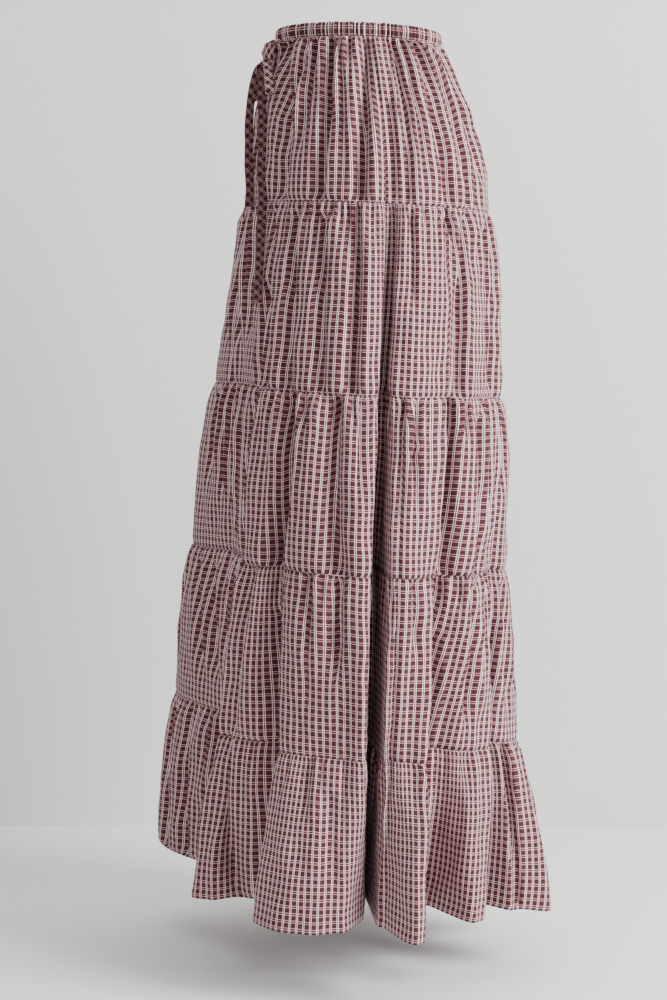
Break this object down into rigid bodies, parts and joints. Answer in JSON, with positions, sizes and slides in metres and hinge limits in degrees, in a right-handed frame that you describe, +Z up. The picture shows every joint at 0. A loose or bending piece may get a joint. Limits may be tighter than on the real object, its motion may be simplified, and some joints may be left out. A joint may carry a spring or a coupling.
{
  "type": "tiered ruffle skirt",
  "caption": "Long tiered ruffle skirt with a gathered elastic waist and a tie bow at the front, in its worn hollow form.",
  "frame": {"origin": "centre of the waistband at half its height, where the wearer holds the skirt up", "axes": "+Z up, -Y to the wearer's front, +X to the wearer's left"},
  "size_m": [0.5616, 0.413, 0.9916],
  "materials": {
    "check_cotton": "plain-weave cotton in a small check of dark wine and off-white",
    "tie_cotton": "the same cotton cut on the bias for the tie"
  },
  "bodies": {
    "root": {"waistband": "check_cotton", "tier_1_front": "check_cotton", "tier_1_back": "check_cotton", "tier_2_front": "check_cotton", "tier_2_back": "check_cotton", "tier_3_front": "check_cotton", "tier_3_back": "check_cotton", "tier_4_front": "check_cotton", "tier_4_back": "check_cotton", "tier_5_front": "check_cotton", "tier_5_back": "check_cotton", "tie_lead": "tie_cotton", "tie_knot": "tie_cotton", "tie_loop_short_side": "tie_cotton", "tie_loop_long_side": "tie_cotton", "tie_tail_short": "tie_cotton", "tie_tail_long": "tie_cotton"}
  },
  "joints": []
}
